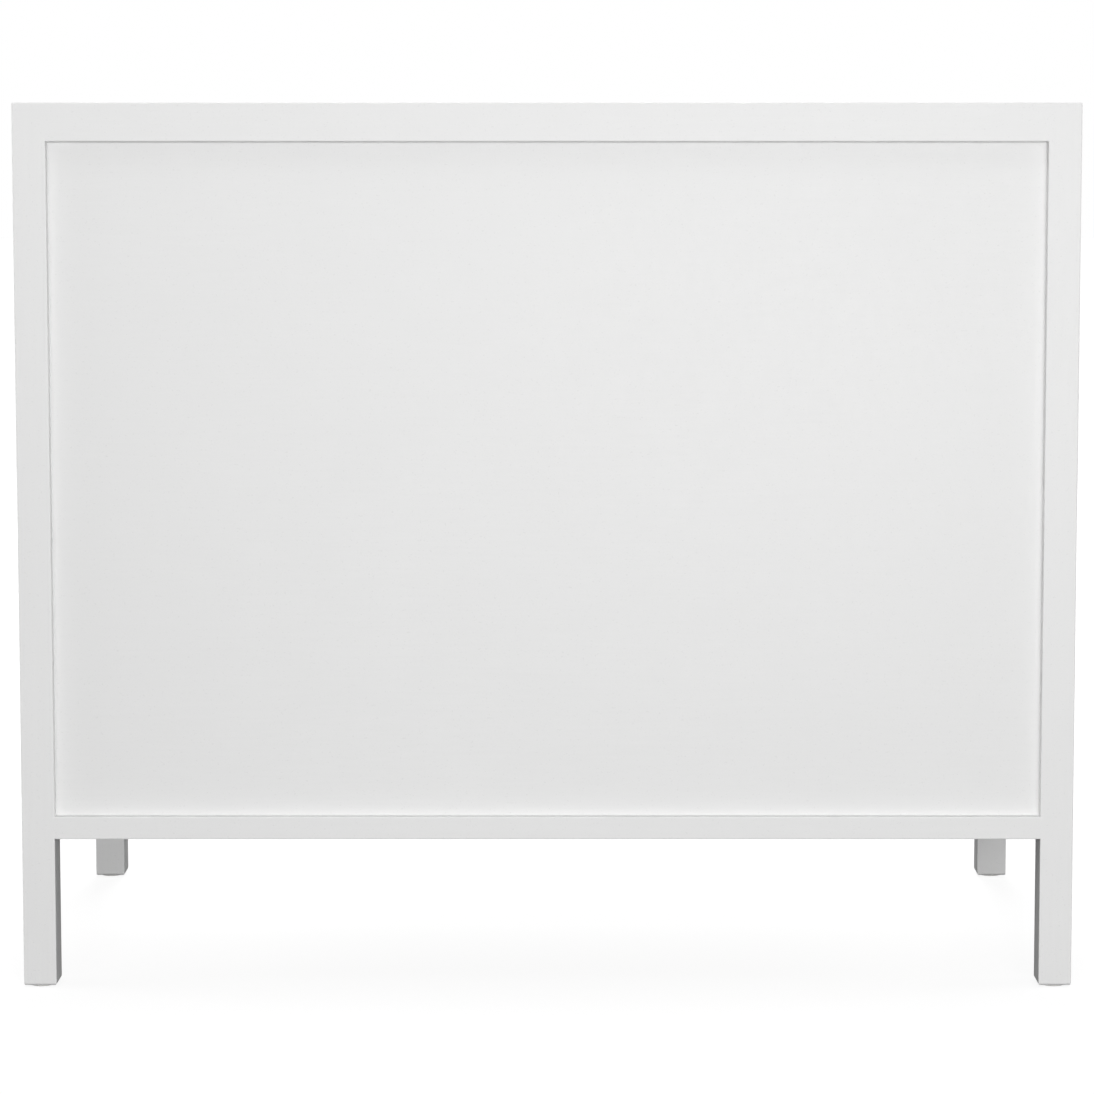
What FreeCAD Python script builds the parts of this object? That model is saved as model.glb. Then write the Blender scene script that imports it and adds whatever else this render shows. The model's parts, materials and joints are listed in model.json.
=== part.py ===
import FreeCAD, Part
import math
import os
from FreeCAD import Vector

# Lacquered two-door armoire on four square legs. Millimetres, +Z up.
# The doors face -Y and the plain recessed back faces +Y. The origin is on the floor,
# midway between the two sides and midway between the knobs' tips and the back face.

# Driving dimensions: the outer frame
WIDTH = 1220.0            # overall, along X
DEPTH = 610.0             # frame only, along Y
HEIGHT = 1026.0           # floor to the upper face of the top
POST = 38.0               # square posts, and the depth of every rail
SLAB = 19.0               # thickness of the top
TOP_RAIL = 25.0           # height of the rails under the top
BOTTOM_RAIL = 26.0        # height of the rails under the cabinet
CLEARANCE = 175.0         # floor to the underside of the bottom rails
OUTER_EASE = 1.6          # radius on the frame's outer edges
OPENING_EASE = 1.1        # radius round the openings in the frame
FOOT_EASE = 3.0           # radius round the foot of each leg

# Panels and joinery
PANEL = 9.0               # thickness of the back and side panels
RECESS = 12.0             # frame face to panel face
GROOVE = 8.0              # depth of the grooves that hold the panels
PANEL_PLAY = 0.5          # room at a panel's edges inside its groove
TENON_LONG = 16.0
TENON_THICK = 12.0
TENON_IN = 24.0           # frame face to the tenon's near cheek
TENON_SHOULDER = 1.5      # above and below each tenon
FIXING_LINE = 30.0        # frame face to the line of shelf pins and top screws
BOTTOM = 16.0             # thickness of the bottom panel
TONGUE = 6.0              # how far, and how thick, the bottom panel's tongues are
TONGUE_DROP = 6.0         # bottom panel's upper face to its tongues

# Doors, hinges, knobs and catches
DOOR = 19.0               # thickness
DOOR_GAP = 2.0            # round each door
DOOR_EASE = 1.0
HINGE_TALL = 64.0
HINGE_KNUCKLES = 5
HINGE_BARREL = 3.5        # radius
HINGE_PIN = 1.6           # radius
HINGE_INSET = 100.0       # door end to the middle of a hinge
BARREL_STAND = 0.2        # frame face to the barrel
LEAF = 1.5                # thickness
LEAF_DEEP = 15.0          # frame face to a leaf's far edge
LEAF_GAP = 0.3            # between the two leaves of a closed hinge
LEAF_SCREWS = ((-0.36, 10.0), (0.0, 6.5), (0.36, 10.0))   # share of the hinge's height, depth
SMALL_SCREW = 1.5         # radius of the screws in hinges and catches
SMALL_SCREW_LONG = 14.0
CATCH_SCREW_LONG = 26.0
PIN_CAP = 1.6             # height of the button at each end of a hinge pin
CAP_LESS = 0.4            # how much smaller the button is than the barrel
CAP_EASE = 0.7
CAP_ROOM = 0.1
RUN = 0.06                # running clearance round a pin
KNUCKLE_PLAY = 0.2        # between two knuckles, and round a knuckle's notch
KNOB_LONG = 27.0          # how far a knob stands out of its door
KNOB_RISE = 590.0         # height of the knobs
KNOB_INSET = 42.0         # door's free edge to the knob's middle
KNOB_BASE = (9.0, 2.2)    # each of these is a radius and how far out of the door it is
KNOB_FLARE = (5.9, 4.6)
KNOB_WAIST = (5.0, 9.0)
KNOB_SWELL = (7.6, 15.2)
KNOB_RIM = (14.0, 18.5)
KNOB_RIM_TOP = 20.5
KNOB_SCREW = 2.0          # radius
KNOB_SCREW_BITE = 9.0     # how far it goes into the knob
KNOB_SCREW_HEAD = (4.2, 2.6)   # radius and height
KNOB_SCREW_EASE = 1.0
CATCH_WIDE = 46.0
CATCH_TALL = 14.0
CATCH_DEEP = 16.0
CATCH_OFF = 32.0          # middle of the cabinet to the middle of a catch
STRIKE = 1.2              # thickness of a strike plate
STRIKE_TALL = 11.0
STRIKE_DROP = 1.5         # door's top edge to the plate
STRIKE_CORNER = 2.0
MAGNET_GAP = 0.1
MAGNET_PROUD = 0.3        # how far the magnet stands out of its housing
MAGNET_IN = 8.0           # how far it goes in
MAGNET_WIDE = 22.0
MAGNET_LESS = 3.5         # housing's lower face to the magnet's, and at the top
CATCH_CORNER = 1.5
CATCH_SCREW_IN = 5.0      # housing's end to each screw

# Inside
PARTITION = 18.0
SHELF = 18.0
SHELF_PLAY = 1.0          # at each end of a shelf
PIN_PITCH = 32.0
PIN_FIRST = 140.0         # bottom panel to the lowest pin hole
PIN_HOLES = 16
PIN_RADIUS = 2.5
PIN_HOLE_DEEP = 10.0
PIN_IN_HOLE = 9.0         # how much of a pin is in its hole
PIN_REACH = 9.0           # how far it stands out under its shelf
PIN_COLLAR = 1.2          # how much wider its collar is than the pin
COLLAR_ROOM = 0.1         # between the collar and the shelf's end
BOARD_SET_BACK = 4.0      # door's inner face to the partition's front edge
SHELF_SET_BACK = 5.0      # door's inner face to a shelf's front edge
SHELF_BACK_ROOM = 1.5     # a shelf's rear edge to the back panel
LOWER_PIN = 3             # which hole, counted from 0, carries each shelf
UPPER_PIN = 10
RAIL_RADIUS = 12.5
RAIL_WALL = 1.5
RAIL_DROP = 52.0          # underside of the top rails to the garment rail's middle
FLANGE_RADIUS = 27.0
FLANGE = 3.0
FLANGE_EASE = 1.2
CUP_RADIUS = 16.0
CUP_LONG = 12.0
SOCKET_SCREW_OFF = 21.0   # garment rail's middle to each socket screw
SOCKET_SCREW = 1.75       # radius of its shank
SOCKET_SCREW_LONG = 10.0
FRAME_SCREW = 2.2         # radius
FRAME_SCREW_LONG = 38.0

# Feet
GLIDE = 2.0               # how far a glide stands out of its leg
GLIDE_RADIUS = 15.0
GLIDE_SHANK = 3.0         # radius
GLIDE_SHANK_LONG = 14.0
GLIDE_EASE = 0.8

# Where the screws into the top and the partition go, as shares of the width and depth
TOP_SCREWS_ACROSS = (-0.8, -0.28, 0.28, 0.8)
TOP_SCREWS_DEEP = (-0.25, 0.25)
PARTITION_SCREWS = (-0.3, 0.0, 0.3)

# Proportions of a screw head, as shares of the shank or head radius
HEAD_SPREAD = 1.9
SLOT_ARM = 0.65
SLOT_HALF = 0.16
SLOT_DEEP = 0.5

# Fits between solids that touch
FIT = 0.05                # radial room round a screw or a shank in its hole

# Levels and faces that follow from the driving dimensions
X_OUT = WIDTH / 2
X_IN = X_OUT - POST
Y_FRONT = (KNOB_LONG - DEPTH) / 2
Y_BACK = Y_FRONT + DEPTH
Y_FRONT_IN = Y_FRONT + POST
Y_BACK_IN = Y_BACK - POST
Y_MID = (Y_FRONT + Y_BACK) / 2
Z_SLAB = HEIGHT - SLAB
Z_TOP = Z_SLAB - TOP_RAIL
Z_FLOOR = CLEARANCE + BOTTOM_RAIL
Y_DOOR_IN = Y_FRONT + DOOR
PANEL_IN = RECESS + PANEL           # frame face to a panel's inner face
FAR = 2 * WIDTH                     # past every face, for cuts that run right through

SIDES = {-1: "left", 1: "right"}
FACES = {-1: "front", 1: "back"}
X_AXIS = Vector(1, 0, 0)
Y_AXIS = Vector(0, 1, 0)
Z_AXIS = Vector(0, 0, 1)

pieces = {}               # node name to its solid, or to a list of identical solids
recesses = {}             # node name to the shapes cut out of it at the end


def box(x, y, z):
    """A block between two planes along each axis, given in any order."""
    low = Vector(min(x), min(y), min(z))
    return Part.makeBox(abs(x[1] - x[0]), abs(y[1] - y[0]), abs(z[1] - z[0]), low)


def from_side(side, inset):
    """The X of a plane parallel to a side face, inset from it."""
    return side * (X_OUT - inset)


def from_face(face, inset):
    """The Y of a plane parallel to the front or back face, inset from it."""
    return Y_FRONT + inset if face < 0 else Y_BACK - inset


def recess(nodes, shape):
    """Notes a shape to be cut out of the named nodes."""
    for node in nodes:
        recesses.setdefault(node, []).append(shape)


def rod(radius, start, axis, length):
    return Part.makeCylinder(radius, length, start, axis)


def screw(head_at, axis, shank, length, grow=0.0):
    """A countersunk screw: its head's flat face is at head_at, and its shank runs along axis.
    With grow it is the hole for the same screw, that much larger all round."""
    head = HEAD_SPREAD * shank
    head_deep = head - shank
    body = rod(shank + grow, head_at, axis, length + grow)
    cone = Part.makeCone(head + grow, shank + grow, head_deep, head_at, axis)
    body = body.fuse(cone).removeSplitter()
    if grow:
        return body
    return body.cut(cross_slot(head_at, axis, head))


def cross_slot(head_at, axis, head):
    """The cross that a driver turns, in the flat face of a screw head."""
    arm = SLOT_ARM * head
    wide = SLOT_HALF * head
    deep = SLOT_DEEP * head
    cross = Part.makeBox(2 * arm, 2 * wide, 2 * deep, Vector(-arm, -wide, -deep))
    cross = cross.fuse(Part.makeBox(2 * wide, 2 * arm, 2 * deep, Vector(-wide, -arm, -deep)))
    turn = FreeCAD.Rotation(Z_AXIS, axis)
    cross.Placement = FreeCAD.Placement(head_at, turn)
    return cross


def drive(group, nodes, head_at, axis, shank, length):
    """Adds a screw to a group, and cuts its hole in the nodes that it goes through."""
    pieces.setdefault(group, []).append(screw(head_at, axis, shank, length))
    recess(nodes, screw(head_at, axis, shank, length, FIT))


# ---------------------------------------------------------------- outer frame

def on_plane(edge, value_of, plane):
    return all(abs(value_of(v.Point) - plane) < 1e-6 for v in edge.Vertexes)


def count_planes(edge, planes):
    return sum(on_plane(edge, value_of, plane) for value_of, plane in planes)


def width_of(point):
    return abs(point.x)


def depth_of(point):
    return point.y


def level_of(point):
    return point.z


OUTER_PLANES = ((width_of, X_OUT), (depth_of, Y_FRONT), (depth_of, Y_BACK), (level_of, HEIGHT))
OPENING_PLANES = ((width_of, X_IN), (depth_of, Y_FRONT_IN), (depth_of, Y_BACK_IN),
                  (level_of, CLEARANCE), (level_of, Z_FLOOR), (level_of, Z_TOP))


def is_outer(edge):
    """An edge between two outer faces of the whole frame."""
    return count_planes(edge, OUTER_PLANES) > 1


def is_opening(edge):
    """An edge round an opening in the front, the back or a side."""
    return count_planes(edge, OUTER_PLANES) == 1 and count_planes(edge, OPENING_PLANES) > 0


def frame_blank():
    """The whole outer frame in one piece with its edges eased, before it is cut into members."""
    hollows = [box((-X_IN, X_IN), (Y_FRONT_IN, Y_BACK_IN), (0, Z_SLAB))]
    for level in ((0, CLEARANCE), (Z_FLOOR, Z_TOP)):
        hollows.append(box((-X_IN, X_IN), (-FAR, FAR), level))
        hollows.append(box((-FAR, FAR), (Y_FRONT_IN, Y_BACK_IN), level))
    blank = box((-X_OUT, X_OUT), (Y_FRONT, Y_BACK), (GLIDE, HEIGHT))
    blank = blank.cut(hollows).removeSplitter()
    blank = blank.makeFillet(OUTER_EASE, [e for e in blank.Edges if is_outer(e)])
    return blank.makeFillet(OPENING_EASE, [e for e in blank.Edges if is_opening(e)])


def tenon(side, face, level, across):
    """A tenon on the end of a rail that runs across (along X) or not (along Y)."""
    middle = (level[0] + level[1]) / 2
    if across:
        x = (from_side(side, POST), from_side(side, POST - TENON_LONG))
        y = (from_face(face, TENON_IN), from_face(face, TENON_IN + TENON_THICK))
        z = (middle, level[1] - TENON_SHOULDER)
    else:
        x = (from_side(side, TENON_IN), from_side(side, TENON_IN + TENON_THICK))
        y = (from_face(face, POST), from_face(face, POST - TENON_LONG))
        z = (level[0] + TENON_SHOULDER, middle)
    return box(x, y, z)


def leg_zone(side, face):
    """The room of one post, rounded round its foot."""
    zone = box((side * X_IN, side * X_OUT), (from_face(face, POST), from_face(face, 0)), (GLIDE, Z_SLAB))
    return zone.makeFillet(FOOT_EASE, [e for e in zone.Edges if on_plane(e, level_of, GLIDE)])


def make_frame():
    """Posts, rails and top, cut from one blank so that their faces and eased edges run on."""
    blank = frame_blank()
    pieces["top_slab"] = blank.common(box((-FAR, FAR), (-FAR, FAR), (Z_SLAB, HEIGHT + 1)))
    for side, side_name in SIDES.items():
        for face, face_name in FACES.items():
            pieces[f"post_{face_name}_{side_name}"] = blank.common(leg_zone(side, face))
    for place, level in (("top", (Z_TOP, Z_SLAB)), ("bottom", (CLEARANCE, Z_FLOOR))):
        for face, face_name in FACES.items():
            zone = box((-X_IN, X_IN), (from_face(face, POST), face * FAR), level)
            add_rail(f"rail_{place}_{face_name}", blank.common(zone), level,
                     [(side, face) for side in SIDES], True)
        for side, side_name in SIDES.items():
            zone = box((side * X_IN, side * FAR), (Y_FRONT_IN, Y_BACK_IN), level)
            add_rail(f"rail_{place}_{side_name}", blank.common(zone), level,
                     [(side, face) for face in FACES], False)


def add_rail(node, rail, level, corners, across):
    """A rail with a tenon into the post at each of its two corners."""
    for side, face in corners:
        tongue = tenon(side, face, level, across)
        rail = rail.fuse(tongue)
        recess([f"post_{FACES[face]}_{SIDES[side]}"], tongue)
    pieces[node] = rail.removeSplitter()


# ---------------------------------------------------------------- panels and inside

def back_board(play):
    half = X_IN + GROOVE - play
    return box((-half, half), (Y_BACK - RECESS, Y_BACK - PANEL_IN),
               (Z_FLOOR - GROOVE + play, Z_TOP + GROOVE - play))


def side_board(side, play):
    return box((from_side(side, RECESS), from_side(side, PANEL_IN)),
               (Y_FRONT_IN - GROOVE + play, Y_BACK_IN + GROOVE - play),
               (Z_FLOOR - GROOVE + play, Z_TOP + GROOVE - play))


def make_panels():
    """The back and side panels in their grooves."""
    pieces["back_panel"] = back_board(PANEL_PLAY)
    around = ["post_back_left", "post_back_right", "rail_top_back", "rail_bottom_back"]
    recess(around, back_board(0))
    for side, name in SIDES.items():
        pieces[f"side_panel_{name}"] = side_board(side, PANEL_PLAY)
        around = [f"post_front_{name}", f"post_back_{name}", f"rail_top_{name}", f"rail_bottom_{name}"]
        recess(around, side_board(side, 0))


def make_bottom():
    """The bottom panel, flush with the bottom rails and tongued into all four."""
    low = Z_FLOOR - BOTTOM
    panel = box((-X_IN, X_IN), (Y_FRONT_IN, Y_BACK_IN), (low, Z_FLOOR))
    level = (Z_FLOOR - TONGUE_DROP - TONGUE, Z_FLOOR - TONGUE_DROP)
    for face, name in FACES.items():
        tongue = box((-X_IN, X_IN), (from_face(face, POST), from_face(face, POST - TONGUE)), level)
        recess([f"rail_bottom_{name}"], tongue)
        panel = panel.fuse(tongue)
    for side, name in SIDES.items():
        reach = (from_side(side, POST), from_side(side, POST - TONGUE))
        tongue = box(reach, (Y_FRONT_IN, Y_BACK_IN), level)
        recess([f"rail_bottom_{name}"], tongue)
        panel = panel.fuse(tongue)
    pieces["bottom_panel"] = panel.removeSplitter()


def make_partition():
    """The upright board between the two bays, notched round the top rails."""
    front = Y_DOOR_IN + BOARD_SET_BACK
    back = Y_BACK - PANEL_IN
    board = box((-PARTITION / 2, PARTITION / 2), (front, back), (Z_FLOOR, Z_SLAB))
    for face in FACES:
        notch = box((-FAR, FAR), (from_face(face, POST), face * FAR), (Z_TOP, FAR))
        board = board.cut(notch)
    nose = [e for e in board.Edges if on_plane(e, depth_of, front) and e.Length > HEIGHT / 2]
    pieces["partition"] = board.makeFillet(DOOR_EASE, nose)


def pin_level(index):
    return Z_FLOOR + PIN_FIRST + index * PIN_PITCH


def make_shelves():
    """Two shelves in the left bay on four pins each, and the rows of holes for the pins."""
    post_wall = -X_IN
    board_wall = -PARTITION / 2
    rows = []
    for face, name in FACES.items():
        y = from_face(face, FIXING_LINE)
        rows.append((f"post_{name}_left", Vector(post_wall, y, 0), X_AXIS))
        rows.append(("partition", Vector(board_wall, y, 0), -X_AXIS))
    for node, foot, way_out in rows:
        for index in range(PIN_HOLES):
            mouth = foot + Z_AXIS * pin_level(index)
            recess([node], rod(PIN_RADIUS + FIT, mouth, -way_out, PIN_HOLE_DEEP))
    for index, name in ((LOWER_PIN, "lower"), (UPPER_PIN, "upper")):
        low = pin_level(index) + PIN_RADIUS
        shelf = box((post_wall + SHELF_PLAY, board_wall - SHELF_PLAY),
                    (Y_DOOR_IN + SHELF_SET_BACK, Y_BACK - PANEL_IN - SHELF_BACK_ROOM), (low, low + SHELF))
        shelf = shelf.makeFillet(DOOR_EASE, [e for e in shelf.Edges if e.Length > X_IN / 2])
        pieces[f"shelf_{name}"] = shelf
        for node, foot, way_out in rows:
            mouth = foot + Z_AXIS * pin_level(index)
            root = mouth - way_out * PIN_IN_HOLE
            pin = rod(PIN_RADIUS, root, way_out, PIN_IN_HOLE + PIN_REACH)
            ring = rod(PIN_RADIUS + PIN_COLLAR, mouth, way_out, SHELF_PLAY - COLLAR_ROOM)
            ring = ring.common(box((-FAR, FAR), (-FAR, FAR), (0, low - FIT)))
            pieces.setdefault("shelf_pins", []).append(pin.fuse(ring).removeSplitter())


def make_garment_rail():
    """A tube across the right bay, from the partition to the side panel, in two screwed sockets."""
    z = Z_TOP - RAIL_DROP
    start = PARTITION / 2
    stop = X_OUT - PANEL_IN
    outer = rod(RAIL_RADIUS, Vector(start + FLANGE, Y_MID, z), X_AXIS, stop - start - 2 * FLANGE)
    inner = rod(RAIL_RADIUS - RAIL_WALL, Vector(start, Y_MID, z), X_AXIS, stop - start)
    pieces["garment_rail"] = outer.cut(inner)
    for wall, way_out, name, node in ((start, X_AXIS, "inner", "partition"),
                                      (stop, -X_AXIS, "outer", "side_panel_right")):
        seat = Vector(wall, Y_MID, z)
        flange = rod(FLANGE_RADIUS, seat, way_out, FLANGE)
        rim = [e for e in flange.Edges if abs(e.CenterOfMass.x - wall) > 1 and e.Closed]
        flange = flange.makeFillet(FLANGE_EASE, rim)
        cup = rod(CUP_RADIUS, seat, way_out, FLANGE + CUP_LONG)
        cup = cup.cut(rod(RAIL_RADIUS + FIT, seat + way_out * FLANGE, way_out, FAR))
        pieces[f"rail_socket_{name}"] = flange.fuse(cup).removeSplitter()
        for up in (-1, 1):
            head = seat + way_out * FLANGE + Z_AXIS * (up * SOCKET_SCREW_OFF)
            drive("rail_socket_screws", [f"rail_socket_{name}", node], head, -way_out,
                  SOCKET_SCREW, SOCKET_SCREW_LONG)


def make_top_screws():
    """Screws up through the rails into the top, and through the bottom panel into the partition."""
    for face, name in FACES.items():
        for share in TOP_SCREWS_ACROSS:
            head = Vector(share * X_IN, from_face(face, FIXING_LINE), Z_TOP)
            drive("carcass_screws", [f"rail_top_{name}", "top_slab"], head, Z_AXIS,
                  FRAME_SCREW, FRAME_SCREW_LONG)
    for side, name in SIDES.items():
        for share in TOP_SCREWS_DEEP:
            head = Vector(from_side(side, FIXING_LINE), Y_MID + share * DEPTH, Z_TOP)
            drive("carcass_screws", [f"rail_top_{name}", "top_slab"], head, Z_AXIS,
                  FRAME_SCREW, FRAME_SCREW_LONG)
    for share in PARTITION_SCREWS:
        head = Vector(0, Y_MID + share * DEPTH, Z_FLOOR - BOTTOM)
        drive("carcass_screws", ["bottom_panel", "partition"], head, Z_AXIS,
                  FRAME_SCREW, FRAME_SCREW_LONG)


def make_glides():
    """A nylon glide under each leg, on a shank in the leg's end grain."""
    for side, side_name in SIDES.items():
        for face, face_name in FACES.items():
            foot = Vector(from_side(side, POST / 2), from_face(face, POST / 2), 0)
            disc = rod(GLIDE_RADIUS, foot, Z_AXIS, GLIDE)
            disc = disc.makeFillet(GLIDE_EASE, [e for e in disc.Edges if e.Closed and e.CenterOfMass.z < 1])
            shank_at = foot + Z_AXIS * GLIDE
            shank = rod(GLIDE_SHANK, shank_at, Z_AXIS, GLIDE_SHANK_LONG)
            pieces[f"glide_{face_name}_{side_name}"] = disc.fuse(shank).removeSplitter()
            hole = rod(GLIDE_SHANK + FIT, shank_at, Z_AXIS, GLIDE_SHANK_LONG + 1)
            recess([f"post_{face_name}_{side_name}"], hole)


# ---------------------------------------------------------------- doors

DOOR_EDGE = X_IN - DOOR_GAP          # hinge edge of each door
DOOR_FREE = DOOR_GAP / 2             # free edge of each door
DOOR_LEVEL = (Z_FLOOR + DOOR_GAP, Z_TOP - DOOR_GAP)
HINGE_X = X_IN - DOOR_GAP / 2
HINGE_Y = Y_FRONT - BARREL_STAND - HINGE_BARREL
HINGE_MIDDLES = {"lower": DOOR_LEVEL[0] + HINGE_INSET, "upper": DOOR_LEVEL[1] - HINGE_INSET}


def make_door(side, name):
    """One inset door, flush with the front of the frame."""
    slab = box((side * DOOR_FREE, side * DOOR_EDGE), (Y_FRONT, Y_DOOR_IN), DOOR_LEVEL)
    pieces[f"door_{name}"] = slab.makeFillet(DOOR_EASE, slab.Edges)


def knuckle_levels(low, first):
    """The bottoms of every other knuckle of a hinge that starts at low."""
    pitch = HINGE_TALL / HINGE_KNUCKLES
    return [low + index * pitch for index in range(first, HINGE_KNUCKLES, 2)]


def hinge_leaf(side, low, outward, first):
    """A leaf with its knuckles. outward is 1 for the leaf on the post and -1 for the one on the door."""
    pitch = HINGE_TALL / HINGE_KNUCKLES
    near = side * (HINGE_X + outward * LEAF_GAP / 2)
    far = side * (HINGE_X + outward * (LEAF_GAP / 2 + LEAF))
    leaf = box((near, far), (HINGE_Y, Y_FRONT + LEAF_DEEP), (low, low + HINGE_TALL))
    for level in knuckle_levels(low, first):
        axis_at = Vector(side * HINGE_X, HINGE_Y, level + KNUCKLE_PLAY / 2)
        leaf = leaf.fuse(rod(HINGE_BARREL, axis_at, Z_AXIS, pitch - KNUCKLE_PLAY))
    for level in knuckle_levels(low, 1 - first):
        axis_at = Vector(side * HINGE_X, HINGE_Y, level - KNUCKLE_PLAY / 2)
        leaf = leaf.cut(rod(HINGE_BARREL + KNUCKLE_PLAY, axis_at, Z_AXIS, pitch + KNUCKLE_PLAY))
    bore_at = Vector(side * HINGE_X, HINGE_Y, low - 1)
    return leaf.cut(rod(HINGE_PIN + RUN, bore_at, Z_AXIS, HINGE_TALL + 2)).removeSplitter()


def leaf_seat(side, low, outward):
    """The shallow pocket that a leaf lies in."""
    near = side * HINGE_X
    far = side * (HINGE_X + outward * (LEAF_GAP / 2 + LEAF))
    return box((near, far), (Y_FRONT - 1, Y_FRONT + LEAF_DEEP), (low, low + HINGE_TALL))


def make_hinge(side, side_name, place, middle):
    """One butt hinge: a leaf on the post, a leaf on the door, a pin and six screws."""
    low = middle - HINGE_TALL / 2
    mark = f"{side_name}_{place}"
    parts = ((1, 0, f"hinge_frame_leaf_{mark}", f"post_front_{side_name}", "hinge_frame_screws"),
             (-1, 1, f"hinge_door_leaf_{mark}", f"door_{side_name}", f"door_screws_{side_name}"))
    for outward, first, node, wood, screws in parts:
        pieces[node] = hinge_leaf(side, low, outward, first)
        recess([wood], leaf_seat(side, low, outward))
        for share, deep in LEAF_SCREWS:
            face_x = side * (HINGE_X + outward * (LEAF_GAP / 2 + FIT))
            head = Vector(face_x, Y_FRONT + deep, middle + share * HINGE_TALL)
            drive(screws, [node, wood], head, X_AXIS * (side * outward), SMALL_SCREW, SMALL_SCREW_LONG)
    foot = Vector(side * HINGE_X, HINGE_Y, low - PIN_CAP)
    pin = rod(HINGE_PIN, foot, Z_AXIS, HINGE_TALL + 2 * PIN_CAP)
    for cap_at in (low - PIN_CAP, low + HINGE_TALL + CAP_ROOM):
        button_at = Vector(side * HINGE_X, HINGE_Y, cap_at)
        button = rod(HINGE_BARREL - CAP_LESS, button_at, Z_AXIS, PIN_CAP - CAP_ROOM)
        pin = pin.fuse(button.makeFillet(CAP_EASE, [e for e in button.Edges if e.Closed]))
    pieces[f"hinge_pin_{mark}"] = pin.removeSplitter()


def make_knob(side, name):
    """A turned knob: a small base, a waisted neck and a low mushroom head, held by a machine screw."""
    rim_radius = KNOB_RIM[0]
    dome = KNOB_LONG - KNOB_RIM_TOP
    ball = (rim_radius ** 2 + dome ** 2) / (2 * dome)
    half_turn = math.asin(rim_radius / ball) / 2
    crown = Vector(ball * math.sin(half_turn), KNOB_LONG - ball + ball * math.cos(half_turn), 0)
    line = Part.LineSegment
    foot_rim = Vector(KNOB_BASE[0], 0, 0)
    base, flare, waist, swell, rim = (
        Vector(radius, out, 0) for radius, out in (KNOB_BASE, KNOB_FLARE, KNOB_WAIST, KNOB_SWELL, KNOB_RIM))
    rim_top = Vector(rim_radius, KNOB_RIM_TOP, 0)
    tip = Vector(0, KNOB_LONG, 0)
    outline = [
        line(Vector(0, 0, 0), foot_rim),
        line(foot_rim, base),
        Part.Arc(base, flare, waist),
        Part.Arc(waist, swell, rim),
        line(rim, rim_top),
        Part.Arc(rim_top, crown, tip),
        line(tip, Vector(0, 0, 0)),
    ]
    wire = Part.Wire([segment.toShape() for segment in outline])
    knob = Part.Face(wire).revolve(Vector(0, 0, 0), Y_AXIS, 360)
    knob.rotate(Vector(0, 0, 0), X_AXIS, 180)
    seat = Vector(side * (DOOR_FREE + KNOB_INSET), Y_FRONT, KNOB_RISE)
    knob.translate(seat)
    head, head_tall = KNOB_SCREW_HEAD
    long = DOOR + KNOB_SCREW_BITE
    inside = seat + Y_AXIS * DOOR
    bolt = rod(KNOB_SCREW, inside, -Y_AXIS, long)
    cap = rod(head, inside, Y_AXIS, head_tall)
    rounded = [e for e in cap.Edges if e.Closed and e.CenterOfMass.y > Y_DOOR_IN + 1]
    cap = cap.makeFillet(KNOB_SCREW_EASE, rounded)
    cap = cap.cut(cross_slot(inside + Y_AXIS * head_tall, -Y_AXIS, head))
    pieces[f"knob_{name}"] = knob
    pieces[f"knob_screw_{name}"] = bolt.fuse(cap).removeSplitter()
    recess([f"knob_{name}", f"door_{name}"], rod(KNOB_SCREW + FIT, inside, -Y_AXIS, long + FIT))


def make_catch(side, name):
    """A magnetic catch under the front top rail, and the strike plate on the door that it holds."""
    middle = side * CATCH_OFF
    half = CATCH_WIDE / 2
    strike_y = Y_DOOR_IN + STRIKE
    front = strike_y + MAGNET_GAP + MAGNET_PROUD
    housing = box((middle - half, middle + half), (front, front + CATCH_DEEP), (Z_TOP - CATCH_TALL, Z_TOP))
    housing = housing.makeFillet(CATCH_CORNER, [e for e in housing.Edges if e.Length < CATCH_DEEP + 1
                                                and not on_plane(e, level_of, Z_TOP)])
    magnet_half = MAGNET_WIDE / 2
    magnet = box((middle - magnet_half, middle + magnet_half), (strike_y + MAGNET_GAP, front + MAGNET_IN),
                 (Z_TOP - CATCH_TALL + MAGNET_LESS, Z_TOP - MAGNET_LESS))
    pieces[f"catch_housing_{name}"] = housing
    pieces[f"catch_magnet_{name}"] = magnet
    recess([f"catch_housing_{name}"], magnet)
    plate_top = DOOR_LEVEL[1] - STRIKE_DROP
    plate = box((middle - half, middle + half), (Y_DOOR_IN, strike_y), (plate_top - STRIKE_TALL, plate_top))
    plate = plate.makeFillet(STRIKE_CORNER, [e for e in plate.Edges if e.Length < 2 * STRIKE])
    pieces[f"strike_plate_{name}"] = plate
    for across in (-1, 1):
        x = middle + across * (half - CATCH_SCREW_IN)
        up_at = Vector(x, front + CATCH_DEEP / 2, Z_TOP - CATCH_TALL)
        drive("catch_screws", [f"catch_housing_{name}", "rail_top_front"], up_at, Z_AXIS,
              SMALL_SCREW, CATCH_SCREW_LONG)
        door_at = Vector(x, strike_y - FIT, plate_top - STRIKE_TALL / 2)
        drive(f"door_screws_{name}", [f"strike_plate_{name}", f"door_{name}"], door_at, -Y_AXIS,
              SMALL_SCREW, SMALL_SCREW_LONG)


def make_doors():
    for side, name in SIDES.items():
        make_door(side, name)
        for place, middle in HINGE_MIDDLES.items():
            make_hinge(side, name, place, middle)
        make_knob(side, name)
        make_catch(side, name)


def export():
    """Cuts the noted recesses and writes one file for each node."""
    os.makedirs("parts", exist_ok=True)
    for node, shape in pieces.items():
        if isinstance(shape, list):
            shape = Part.makeCompound(shape)
        if node in recesses:
            shape = shape.cut(recesses[node])
        if len(shape.Solids) == 1:
            shape = shape.Solids[0]
        shape.exportStep(f"parts/{node}.step")
        print(node, len(shape.Solids), "solids", round(shape.Volume), "mm3", shape.isValid())


make_frame()
make_panels()
make_bottom()
make_partition()
make_shelves()
make_garment_rail()
make_top_screws()
make_glides()
make_doors()
export()
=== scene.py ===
import json
import math

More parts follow.
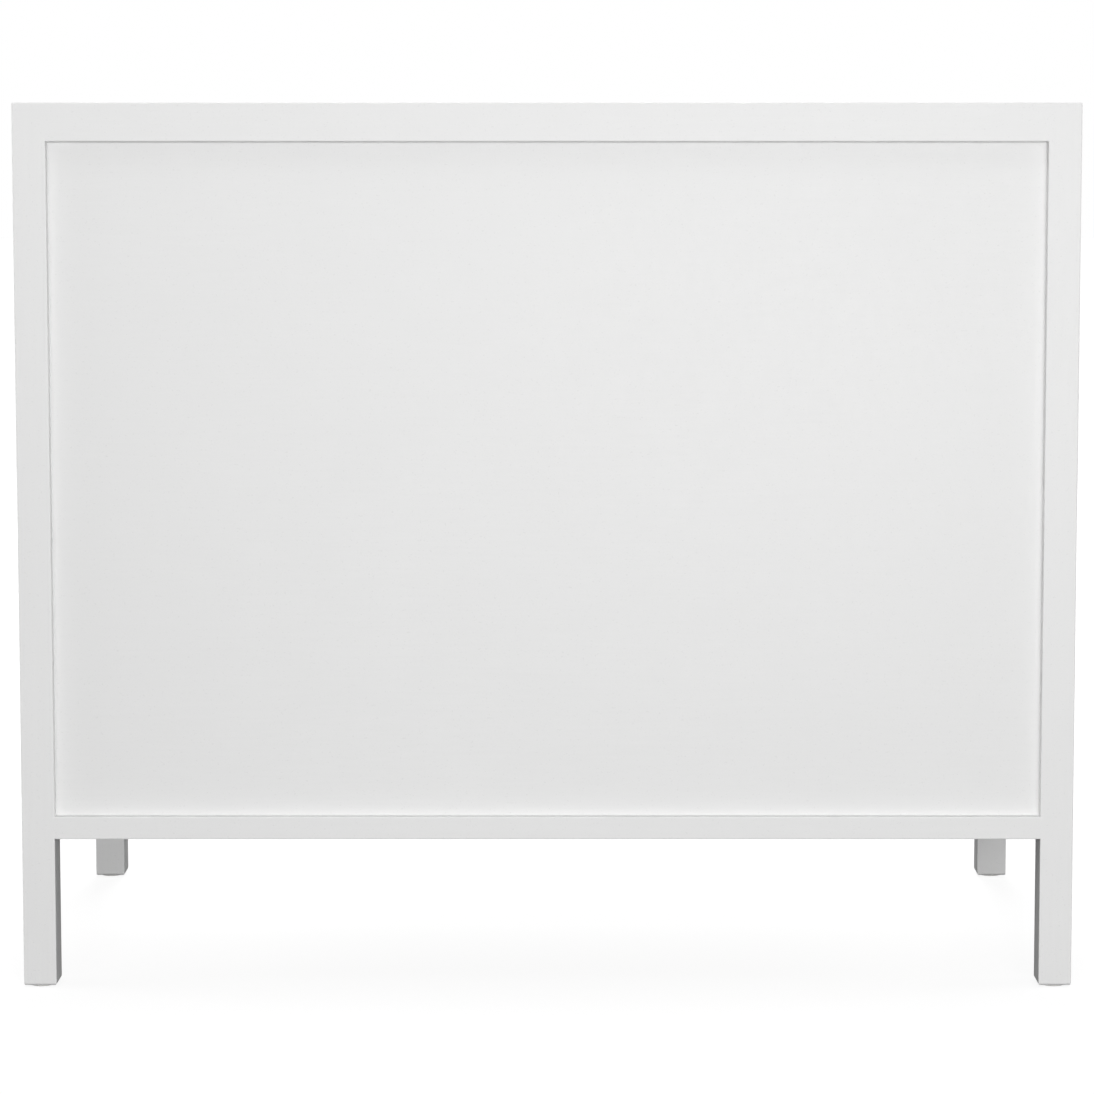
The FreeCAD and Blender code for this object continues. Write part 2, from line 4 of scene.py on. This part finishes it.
import bpy
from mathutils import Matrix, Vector


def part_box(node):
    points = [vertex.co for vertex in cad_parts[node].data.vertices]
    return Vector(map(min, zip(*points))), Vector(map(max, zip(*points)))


# A white lacquered armoire, seen from behind. Metres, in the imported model's frame:
# the doors face -Y, the recessed back faces +Y and the floor is z = 0.

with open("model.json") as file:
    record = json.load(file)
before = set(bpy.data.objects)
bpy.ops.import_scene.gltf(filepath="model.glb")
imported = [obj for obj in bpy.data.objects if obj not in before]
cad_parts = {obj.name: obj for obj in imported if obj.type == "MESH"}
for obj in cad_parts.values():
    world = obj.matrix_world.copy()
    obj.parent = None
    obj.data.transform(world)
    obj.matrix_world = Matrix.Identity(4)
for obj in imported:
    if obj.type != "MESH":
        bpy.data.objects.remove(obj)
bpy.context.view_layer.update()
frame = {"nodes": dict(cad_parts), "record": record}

# Camera, behind the cabinet and facing its back
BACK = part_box("post_back_left")[1].y
CAMERA_AWAY = 3.700          # back face to the camera
CAMERA_ASIDE = -0.0302
CAMERA_UP = 0.9766           # above the floor
TILT = math.radians(4.917)   # below the horizon
SENSOR = 36.0                # this and the lens in millimetres
LENS = 106.45
SHIFT_X = -0.0242            # shares of the picture's width
SHIFT_Y = -0.112
FAR_CLIP = 100.0

# Floor and backdrop. The floor's paint is mid grey, so that it throws little light up at the legs.
# It looks pale because of a glow that only the camera sees, which runs into the white backdrop.
FLOOR_HALF = 30.0
FLOOR_GREY = (0.155, 0.155, 0.155)
FLOOR_CLOUD_GREY = (0.165, 0.165, 0.165)
FLOOR_FADE = (0.9, 2.6)      # from the middle: where the fade into the backdrop starts and ends
FLOOR_GLOW = (0.88, 1.0)     # at those two distances
BACKDROP_SEEN = 1.0
BACKDROP_SHED = 0.28         # what the backdrop gives as light

# Soft boxes: name, centre, what it faces, width and height, watts
MIDDLE = (0, 0.3, 0.6)
LOWER = (0, 0.3, 0.3)
DOORS = (0, -0.4, 0.6)
LIGHTS = (
    ("key_outer", (-1.7, 5.2, 1.9), MIDDLE, (2.0, 0.7), 28),
    ("key_inner", (-1.2, 5.4, 1.9), MIDDLE, (2.0, 0.7), 26),
    ("fill", (1.4, 5.3, 1.6), MIDDLE, (2.0, 0.7), 47),
    ("low", (-0.6, 5.3, 0.5), LOWER, (2.4, 0.4), 89),
    ("overhead", (0, -0.6, 3.2), DOORS, (1.8, 1.6), 22),
    ("back_top", (-0.3, 1.3, 3.5), MIDDLE, (1.8, 0.9), 9),
    ("front_key", (0.2, -5.2, 2.3), MIDDLE, (2.2, 1.2), 138),
    ("front_fill", (-0.7, -5.2, 1.4), MIDDLE, (2.2, 1.2), 42),
    ("side_right", (5.0, 0.2, 2.0), MIDDLE, (2.4, 2.0), 78),
    ("side_left", (-5.0, 0.0, 2.2), MIDDLE, (2.0, 2.4), 60),
)

# Lacquer colours, linear
WHITE = (0.80, 0.80, 0.798)
INSIDE_WHITE = (0.76, 0.76, 0.745)

# How finely each pattern repeats, per metre
FLOOR_CLOUD = 0.6
CLOUD = 1.7
MOTTLE = 11.0
GRAIN = 6.0
GRAIN_ALONG = 2.2            # these two stretch the grain along a member
GRAIN_ACROSS = 38.0
PEEL = 260.0                 # orange peel in sprayed lacquer
DUST = 420.0
BRUSH = 1.0
BRUSH_ALONG = 40.0           # these two stretch the brushing of a metal
BRUSH_ACROSS = 900.0
TARNISH = 90.0
PLASTIC_CLOUD = 60.0
PEBBLE = 1400.0
GRIT = 1600.0
EDGE_BREAK_UP = 34.0              # breaks up the wear along metal and plastic edges and the painted highlight along lacquer edges

# Heights of the bumps, and how far wear reaches from an edge
PEEL_HIGH = 0.00005
GRAIN_SHARE = 0.8            # of the orange peel's height
BRUSH_HIGH = 0.00002
PEBBLE_HIGH = 0.00004
GRIT_HIGH = 0.00005
METAL_WEAR = 0.0005
PLASTIC_WEAR = 0.0006

# Spans of a pattern's values that are mapped onto what it drives
NOISE_SPAN = (0.3, 0.7)      # nearly all of a noise texture
DUST_SPAN = (0.64, 0.74)     # only its rarest peaks
GRIT_SPAN = (0.55, 0.75)
CELL_SPAN = (0.1, 0.6)
BEVEL_SPAN = (0.80, 0.99)    # cosine between a face and its rounded edge
EASED_SPAN = (0.80, 0.98)    # largest part of a normal on an eased edge
BEVEL_SAMPLES = 6

LACQUER_ROUGH = (0.39, 0.46)
LACQUER_IOR = 1.48
PLASTIC_IOR = 1.5


# ---------------------------------------------------------------- node helpers

class Nodes:
    """Builds one material's node tree: each call adds a node and returns its output socket."""

    def __init__(self, name):
        self.material = bpy.data.materials.new(name)
        self.material.use_nodes = True
        self.tree = self.material.node_tree
        self.tree.nodes.clear()
        output = self.tree.nodes.new("ShaderNodeOutputMaterial")
        self.shader = self.tree.nodes.new("ShaderNodeBsdfPrincipled")
        self.link(self.shader.outputs["BSDF"], output.inputs["Surface"])
        self.place = self.tree.nodes.new("ShaderNodeTexCoord").outputs["Object"]

    def link(self, source, target):
        self.tree.links.new(source, target)

    def feed(self, target, value):
        """Sets a socket to a number, or links it to another socket."""
        if isinstance(value, bpy.types.NodeSocket):
            self.link(value, target)
        else:
            target.default_value = value

    def stretched(self, axis, along, across):
        """The object's own coordinates, scaled so that a pattern runs along one axis."""
        scale = [across, across, across]
        scale[axis] = along
        node = self.tree.nodes.new("ShaderNodeMapping")
        self.link(self.place, node.inputs["Vector"])
        node.inputs["Scale"].default_value = scale
        return node.outputs["Vector"]

    def noise(self, scale, detail=3.0, rough=0.5, vector=None, distortion=0.0):
        node = self.tree.nodes.new("ShaderNodeTexNoise")
        self.link(vector or self.place, node.inputs["Vector"])
        node.inputs["Scale"].default_value = scale
        node.inputs["Detail"].default_value = detail
        node.inputs["Roughness"].default_value = rough
        node.inputs["Distortion"].default_value = distortion
        return node.outputs["Fac"]

    def cells(self, scale):
        node = self.tree.nodes.new("ShaderNodeTexVoronoi")
        self.link(self.place, node.inputs["Vector"])
        node.inputs["Scale"].default_value = scale
        return node.outputs["Distance"]

    def spread(self, value, low, high, span=NOISE_SPAN):
        """Maps a span of a pattern's values onto low to high."""
        node = self.tree.nodes.new("ShaderNodeMapRange")
        self.feed(node.inputs["Value"], value)
        node.inputs["From Min"].default_value = span[0]
        node.inputs["From Max"].default_value = span[1]
        node.inputs["To Min"].default_value = low
        node.inputs["To Max"].default_value = high
        return node.outputs["Result"]

    def math(self, kind, a, b):
        node = self.tree.nodes.new("ShaderNodeMath")
        node.operation = kind
        self.feed(node.inputs[0], a)
        self.feed(node.inputs[1], b)
        return node.outputs["Value"]

    def mix(self, share, a, b):
        """A colour between a and b."""
        node = self.tree.nodes.new("ShaderNodeMix")
        node.data_type = "RGBA"
        self.feed(node.inputs["Factor"], share)
        for name, value in (("A", a), ("B", b)):
            socket = [s for s in node.inputs if s.name == name and s.type == "RGBA"][0]
            is_socket = isinstance(value, bpy.types.NodeSocket)
            self.feed(socket, value if is_socket else (*value, 1.0))
        return [s for s in node.outputs if s.type == "RGBA"][0]

    def tint(self, tone, pattern, share, colour, span=NOISE_SPAN):
        """The tone, with up to that share of another colour where the pattern is high."""
        return self.mix(self.spread(pattern, 0.0, share, span), tone, colour)

    def wear_and_highlight(self, tone, edge, share, colour):
        """The tone, with that share of another colour along the edges: wear on metal and plastic, a
        painted highlight on lacquer.
        """
        return self.mix(self.math("MULTIPLY", edge, share), tone, colour)

    def smoother(self, roughness, edge, less):
        """The roughness, less that much along the edges."""
        return self.math("SUBTRACT", roughness, self.math("MULTIPLY", edge, less))

    def bump(self, height, distance):
        node = self.tree.nodes.new("ShaderNodeBump")
        self.link(height, node.inputs["Height"])
        node.inputs["Distance"].default_value = distance
        node.inputs["Strength"].default_value = 1.0
        self.link(node.outputs["Normal"], self.shader.inputs["Normal"])

    def broken_up(self, edge, least):
        """An edge mask, broken up by noise, and at least that share of itself: handling on worn metal
        and plastic edges, a patchy painted highlight on lacquer edges.
        """
        return self.math("MULTIPLY", edge, self.spread(self.noise(EDGE_BREAK_UP), least, 1.0))

    def edges(self, reach):
        """1 along the piece's sharp edges, falling to 0 at reach from them."""
        rounded = self.tree.nodes.new("ShaderNodeBevel")
        rounded.samples = BEVEL_SAMPLES
        rounded.inputs["Radius"].default_value = reach
        flat = self.tree.nodes.new("ShaderNodeNewGeometry")
        agree = self.tree.nodes.new("ShaderNodeVectorMath")
        agree.operation = "DOT_PRODUCT"
        self.link(rounded.outputs["Normal"], agree.inputs[0])
        self.link(flat.outputs["Normal"], agree.inputs[1])
        return self.broken_up(self.spread(agree.outputs["Value"], 1.0, 0.0, BEVEL_SPAN), 0.35)

    def eased(self):
        """1 where the surface rounds an eased edge, and 0 on faces square to the piece's axes."""
        facing = self.tree.nodes.new("ShaderNodeTexCoord").outputs["Normal"]
        size = self.tree.nodes.new("ShaderNodeVectorMath")
        size.operation = "ABSOLUTE"
        self.link(facing, size.inputs[0])
        split = self.tree.nodes.new("ShaderNodeSeparateXYZ")
        self.link(size.outputs["Vector"], split.inputs["Vector"])
        most = self.math("MAXIMUM", split.outputs["X"], split.outputs["Y"])
        most = self.math("MAXIMUM", most, split.outputs["Z"])
        return self.broken_up(self.spread(most, 1.0, 0.0, EASED_SPAN), 0.4)

    def set(self, **values):
        """Sets the shader's own sockets: Base_Color, Roughness and so on."""
        for name, value in values.items():
            self.feed(self.shader.inputs[name.replace("_", " ")], value)


# ---------------------------------------------------------------- materials

def shade(colour, factor):
    return tuple(min(1.0, c * factor) for c in colour)


def lacquer(name, colour, grain_axis):
    """Sprayed satin lacquer: fine orange peel, faint clouds, a trace of grain, and smoother eased
    edges that carry a painted highlight.
    """
    n = Nodes(name)
    cloud = n.noise(CLOUD, detail=2.0, rough=0.4)
    run = n.stretched(grain_axis, GRAIN_ALONG, GRAIN_ACROSS)
    grain = n.noise(GRAIN, detail=5.0, rough=0.6, vector=run, distortion=0.6)
    dust = n.noise(DUST, detail=2.0)
    mottle = n.noise(MOTTLE, detail=4.0, rough=0.65)
    peel = n.noise(PEEL, detail=1.5)
    edge = n.eased()
    tone = n.tint(shade(colour, 0.982), cloud, 1.0, shade(colour, 1.015))
    tone = n.tint(tone, mottle, 0.5, shade(colour, 0.975))
    tone = n.tint(tone, grain, 0.4, shade(colour, 0.965))
    tone = n.tint(tone, dust, 0.6, shade(colour, 0.88), DUST_SPAN)
    # Painted highlight: the eased edges are painted 10% paler, standing in for light catching them.
    tone = n.wear_and_highlight(tone, edge, 0.8, shade(colour, 1.10))
    sheen = n.math("ADD", n.spread(cloud, 0.0, 0.04), n.spread(peel, *LACQUER_ROUGH))
    n.bump(n.math("ADD", peel, n.math("MULTIPLY", grain, GRAIN_SHARE)), PEEL_HIGH)
    n.set(Base_Color=tone, Roughness=n.smoother(sheen, edge, 0.10), IOR=LACQUER_IOR)
    return n.material


def metal(name, colour, roughness, brushed_axis=2, tarnish=0.82):
    """Plated or solid metal: fine brushing, cloudy tarnish, and edges that handling has polished."""
    n = Nodes(name)
    run = n.stretched(brushed_axis, BRUSH_ALONG, BRUSH_ACROSS)
    lines = n.noise(BRUSH, vector=run)
    cloud = n.noise(TARNISH, detail=4.0, rough=0.6)
    edge = n.edges(METAL_WEAR)
    tone = n.tint(shade(colour, tarnish), cloud, 1.0, colour)
    tone = n.tint(tone, lines, 0.25, shade(colour, 0.9))
    tone = n.wear_and_highlight(tone, edge, 0.7, shade(colour, 1.18))
    haze = n.math("ADD", n.spread(lines, roughness, roughness + 0.08), n.spread(cloud, 0.0, 0.08))
    n.bump(lines, BRUSH_HIGH)
    n.set(Base_Color=tone, Roughness=n.smoother(haze, edge, 0.08), Metallic=1.0)
    return n.material


def plastic(name, colour, roughness):
    """Moulded plastic: a fine spark-eroded texture, rubbed smoother and paler along its edges."""
    n = Nodes(name)
    pebble = n.cells(PEBBLE)
    cloud = n.noise(PLASTIC_CLOUD)
    edge = n.edges(PLASTIC_WEAR)
    tone = n.tint(shade(colour, 0.95), cloud, 1.0, colour)
    tone = n.tint(tone, pebble, 0.2, shade(colour, 0.88), CELL_SPAN)
    tone = n.wear_and_highlight(tone, edge, 0.5, shade(colour, 1.1))
    rough = n.spread(cloud, roughness, roughness + 0.1)
    n.bump(pebble, PEBBLE_HIGH)
    n.set(Base_Color=tone, Roughness=n.smoother(rough, edge, 0.1), IOR=PLASTIC_IOR)
    return n.material


def ferrite(name, colour, speck):
    """A sintered magnet: near black, gritty, with paler chipped specks."""
    n = Nodes(name)
    grit = n.noise(GRIT, detail=4.0, rough=0.7)
    n.bump(grit, GRIT_HIGH)
    n.set(Base_Color=n.tint(colour, grit, 1.0, speck, GRIT_SPAN), Roughness=n.spread(grit, 0.5, 0.7))
    return n.material


SLOT_MATERIALS = {
    "satin_brass": metal("satin_brass", (0.78, 0.60, 0.33), 0.28),
    "knob_brass": metal("knob_brass", (0.80, 0.62, 0.35), 0.22, brushed_axis=1),
    "brass_screws": metal("brass_screws", (0.70, 0.54, 0.30), 0.32),
    "rail_steel": metal("rail_steel", (0.80, 0.81, 0.82), 0.12, brushed_axis=0, tarnish=0.93),
    "plate_steel": metal("plate_steel", (0.62, 0.63, 0.65), 0.34, brushed_axis=0),
    "pin_steel": metal("pin_steel", (0.66, 0.66, 0.68), 0.3),
    "screw_steel": metal("screw_steel", (0.60, 0.60, 0.63), 0.36),
    "glide_nylon": plastic("glide_nylon", (0.82, 0.81, 0.78), 0.5),
    "catch_plastic": plastic("catch_plastic", (0.80, 0.80, 0.78), 0.4),
    "magnet": ferrite("magnet", (0.03, 0.03, 0.032), (0.14, 0.14, 0.145)),
}


def longest_axis(node):
    low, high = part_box(node)
    size = high - low
    return max(range(3), key=lambda axis: size[axis])


def paint_nodes():
    """Gives every CAD node the material of its slot. Lacquer's grain follows each member's length."""
    lacquers = {}
    for row in frame["record"]["subparts"]:
        node, slot = row["node"], row["material_slot"]
        if slot in SLOT_MATERIALS:
            material = SLOT_MATERIALS[slot]
        else:
            axis = longest_axis(node)
            key = (slot, axis)
            if key not in lacquers:
                colour = WHITE if slot == "lacquer" else INSIDE_WHITE
                lacquers[key] = lacquer(f"{slot}_{'xyz'[axis]}", colour, axis)
            material = lacquers[key]
        mesh = frame["nodes"][node].data
        mesh.materials.clear()
        mesh.materials.append(material)


# ---------------------------------------------------------------- studio

def add_to_scene(name, data):
    made = bpy.data.objects.new(name, data)
    bpy.context.scene.collection.objects.link(made)
    return made


def add_floor():
    """A plain grey floor, which its glow makes pale to the camera and fades into the backdrop."""
    mesh = bpy.data.meshes.new("floor")
    h = FLOOR_HALF
    mesh.from_pydata([(-h, -h, 0), (h, -h, 0), (h, h, 0), (-h, h, 0)], [], [(0, 1, 2, 3)])
    floor = add_to_scene("floor", mesh)
    n = Nodes("floor_paint")
    distance = n.tree.nodes.new("ShaderNodeVectorMath")
    distance.operation = "LENGTH"
    n.link(n.place, distance.inputs[0])
    ray = n.tree.nodes.new("ShaderNodeLightPath")
    glow = n.spread(distance.outputs["Value"], *FLOOR_GLOW, FLOOR_FADE)
    glow = n.math("MULTIPLY", glow, ray.outputs["Is Camera Ray"])
    n.set(Base_Color=n.tint(FLOOR_GREY, n.noise(FLOOR_CLOUD), 1.0, FLOOR_CLOUD_GREY),
          Roughness=0.9, Specular_IOR_Level=0.2, Emission_Color=(1, 1, 1, 1), Emission_Strength=glow)
    mesh.materials.append(n.material)


def add_light(name, place, aim, size, power):
    """A rectangular soft box at place, turned to aim and itself out of the picture."""
    data = bpy.data.lights.new(name, "AREA")
    data.shape = "RECTANGLE"
    data.size, data.size_y = size
    data.energy = power
    lamp = add_to_scene(name, data)
    lamp.location = place
    lamp.rotation_euler = (Vector(aim) - Vector(place)).to_track_quat("-Z", "Y").to_euler()
    lamp.visible_camera = False


def add_world():
    """The backdrop is white to the camera and sheds only a little light."""
    world = bpy.data.worlds.new("studio")
    world.use_nodes = True
    tree = world.node_tree
    tree.nodes.clear()
    blend = tree.nodes.new("ShaderNodeMixShader")
    ray = tree.nodes.new("ShaderNodeLightPath")
    tree.links.new(ray.outputs["Is Camera Ray"], blend.inputs[0])
    for socket, strength in ((1, BACKDROP_SHED), (2, BACKDROP_SEEN)):
        light = tree.nodes.new("ShaderNodeBackground")
        light.inputs["Color"].default_value = (1, 1, 1, 1)
        light.inputs["Strength"].default_value = strength
        tree.links.new(light.outputs[0], blend.inputs[socket])
    output = tree.nodes.new("ShaderNodeOutputWorld")
    tree.links.new(blend.outputs[0], output.inputs["Surface"])
    bpy.context.scene.world = world


def add_camera():
    data = bpy.data.cameras.new("camera")
    data.lens = LENS
    data.sensor_width = SENSOR
    data.shift_x = SHIFT_X
    data.shift_y = SHIFT_Y
    data.clip_end = FAR_CLIP
    camera = add_to_scene("camera", data)
    camera.location = (CAMERA_ASIDE, BACK + CAMERA_AWAY, CAMERA_UP)
    camera.rotation_euler = (math.pi / 2 - TILT, 0, math.pi)
    bpy.context.scene.camera = camera


paint_nodes()
add_floor()
for soft_box in LIGHTS:
    add_light(*soft_box)
add_world()
add_camera()
bpy.context.scene.view_settings.view_transform = "Standard"
